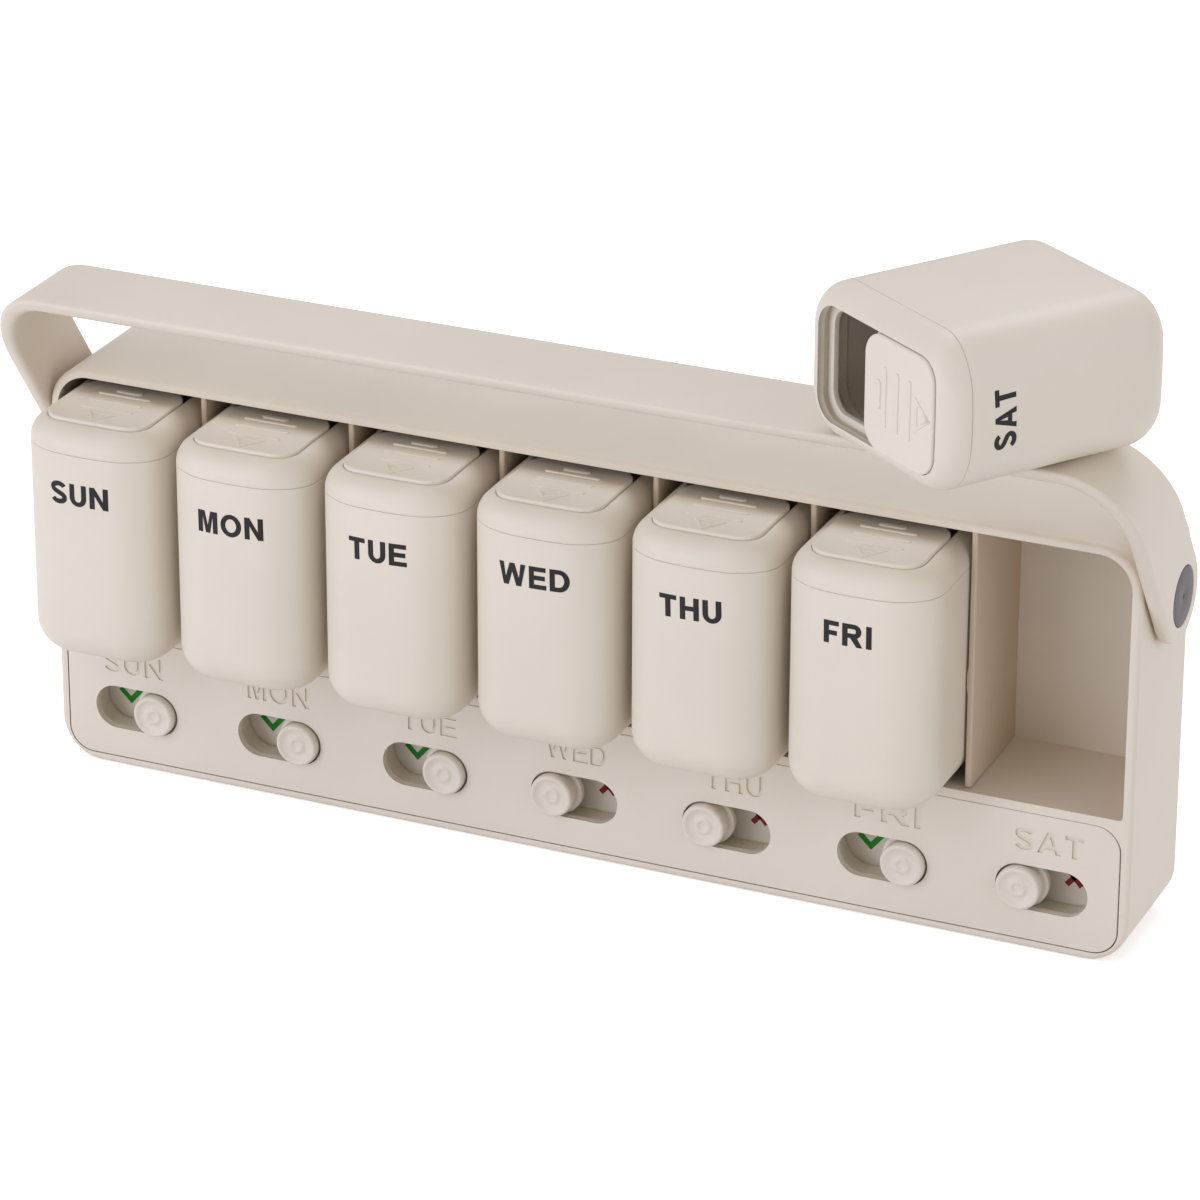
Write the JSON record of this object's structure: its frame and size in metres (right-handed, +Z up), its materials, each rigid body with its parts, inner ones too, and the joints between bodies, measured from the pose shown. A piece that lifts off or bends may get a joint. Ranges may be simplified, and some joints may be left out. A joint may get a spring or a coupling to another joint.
{
  "type": "weekly pill organizer",
  "caption": "Weekly pill organizer: open-fronted case with pull-out lidded pods, a slide switch under each, and a forward-leaning carrying handle.",
  "frame": {"origin": "centre of the case's flat underside", "axes": "+X along the row of pods, from the first day to the last, +Y to the back, +Z up"},
  "size_m": [0.2702, 0.0842, 0.1591],
  "materials": {
    "body": "satin ivory",
    "strip": "matte off-white",
    "pin": "plain",
    "disc": "matte grey",
    "knob": "satin ivory",
    "pod": "satin ivory",
    "hatch": "satin ivory"
  },
  "bodies": {
    "case": {"case_shell": "body", "switch_panel": "body", "mark_strip": "strip", "divider_1": "body", "divider_2": "body", "divider_3": "body", "divider_4": "body", "divider_5": "body", "divider_6": "body", "pivot_pin_left": "pin", "pivot_pin_right": "pin"},
    "handle": {"handle": "body", "pivot_disc_left": "disc", "pivot_disc_right": "disc"},
    "knob_sun": {"knob_sun": "knob"},
    "pod_sun": {"pod_body_sun": "pod", "pod_cap_sun": "pod"},
    "hatch_sun": {"hatch_sun": "hatch"},
    "knob_mon": {"knob_mon": "knob"},
    "pod_mon": {"pod_body_mon": "pod", "pod_cap_mon": "pod"},
    "hatch_mon": {"hatch_mon": "hatch"},
    "knob_tue": {"knob_tue": "knob"},
    "pod_tue": {"pod_body_tue": "pod", "pod_cap_tue": "pod"},
    "hatch_tue": {"hatch_tue": "hatch"},
    "knob_wed": {"knob_wed": "knob"},
    "pod_wed": {"pod_body_wed": "pod", "pod_cap_wed": "pod"},
    "hatch_wed": {"hatch_wed": "hatch"},
    "knob_thu": {"knob_thu": "knob"},
    "pod_thu": {"pod_body_thu": "pod", "pod_cap_thu": "pod"},
    "hatch_thu": {"hatch_thu": "hatch"},
    "knob_fri": {"knob_fri": "knob"},
    "pod_fri": {"pod_body_fri": "pod", "pod_cap_fri": "pod"},
    "hatch_fri": {"hatch_fri": "hatch"},
    "knob_sat": {"knob_sat": "knob"},
    "pod_sat": {"pod_body_sat": "pod", "pod_cap_sat": "pod"},
    "hatch_sat": {"hatch_sat": "hatch"}
  },
  "joints": [
    {"name": "handle_hinge", "type": "hinge", "parent": "case", "child": "handle", "pos_m": [0, 0, 0.0823], "axis": [-1, 0, 0], "range_deg": [0, 125]},
    {"name": "knob_slide_sun", "type": "slide", "parent": "case", "child": "knob_sun", "axis": [1, 0, 0], "range_m": [-0.0101, 0]},
    {"name": "knob_slide_mon", "type": "slide", "parent": "case", "child": "knob_mon", "axis": [1, 0, 0], "range_m": [-0.0101, 0]},
    {"name": "knob_slide_tue", "type": "slide", "parent": "case", "child": "knob_tue", "axis": [1, 0, 0], "range_m": [-0.0101, 0]},
    {"name": "knob_slide_wed", "type": "slide", "parent": "case", "child": "knob_wed", "axis": [1, 0, 0], "range_m": [0, 0.0101]},
    {"name": "knob_slide_thu", "type": "slide", "parent": "case", "child": "knob_thu", "axis": [1, 0, 0], "range_m": [0, 0.0101]},
    {"name": "knob_slide_fri", "type": "slide", "parent": "case", "child": "knob_fri", "axis": [1, 0, 0], "range_m": [-0.0101, 0]},
    {"name": "knob_slide_sat", "type": "slide", "parent": "case", "child": "knob_sat", "axis": [1, 0, 0], "range_m": [0, 0.0101]},
    {"name": "pod_slide_sun", "type": "slide", "parent": "case", "child": "pod_sun", "axis": [0, -1, 0], "range_m": [0, 0.055]},
    {"name": "pod_slide_mon", "type": "slide", "parent": "case", "child": "pod_mon", "axis": [0, -1, 0], "range_m": [0, 0.055]},
    {"name": "pod_slide_tue", "type": "slide", "parent": "case", "child": "pod_tue", "axis": [0, -1, 0], "range_m": [0, 0.055]},
    {"name": "pod_slide_wed", "type": "slide", "parent": "case", "child": "pod_wed", "axis": [0, -1, 0], "range_m": [0, 0.055]},
    {"name": "pod_slide_thu", "type": "slide", "parent": "case", "child": "pod_thu", "axis": [0, -1, 0], "range_m": [0, 0.055]},
    {"name": "pod_slide_fri", "type": "slide", "parent": "case", "child": "pod_fri", "axis": [0, -1, 0], "range_m": [0, 0.055]},
    {"name": "pod_lift_sat", "type": "slide", "parent": "handle", "child": "pod_sat", "axis": [0, 0, 1], "range_m": [0, 0.15]},
    {"name": "hatch_slide_sun", "type": "slide", "parent": "pod_sun", "child": "hatch_sun", "axis": [0, 1, 0], "range_m": [0, 0.0175]},
    {"name": "hatch_slide_mon", "type": "slide", "parent": "pod_mon", "child": "hatch_mon", "axis": [0, 1, 0], "range_m": [0, 0.0175]},
    {"name": "hatch_slide_tue", "type": "slide", "parent": "pod_tue", "child": "hatch_tue", "axis": [0, 1, 0], "range_m": [0, 0.0175]},
    {"name": "hatch_slide_wed", "type": "slide", "parent": "pod_wed", "child": "hatch_wed", "axis": [0, 1, 0], "range_m": [0, 0.0175]},
    {"name": "hatch_slide_thu", "type": "slide", "parent": "pod_thu", "child": "hatch_thu", "axis": [0, 1, 0], "range_m": [0, 0.0175]},
    {"name": "hatch_slide_fri", "type": "slide", "parent": "pod_fri", "child": "hatch_fri", "axis": [0, 1, 0], "range_m": [0, 0.0175]},
    {"name": "hatch_slide_sat", "type": "slide", "parent": "pod_sat", "child": "hatch_sat", "axis": [-0.8241, 0.5664, 0], "range_m": [0, 0.0175]}
  ]
}
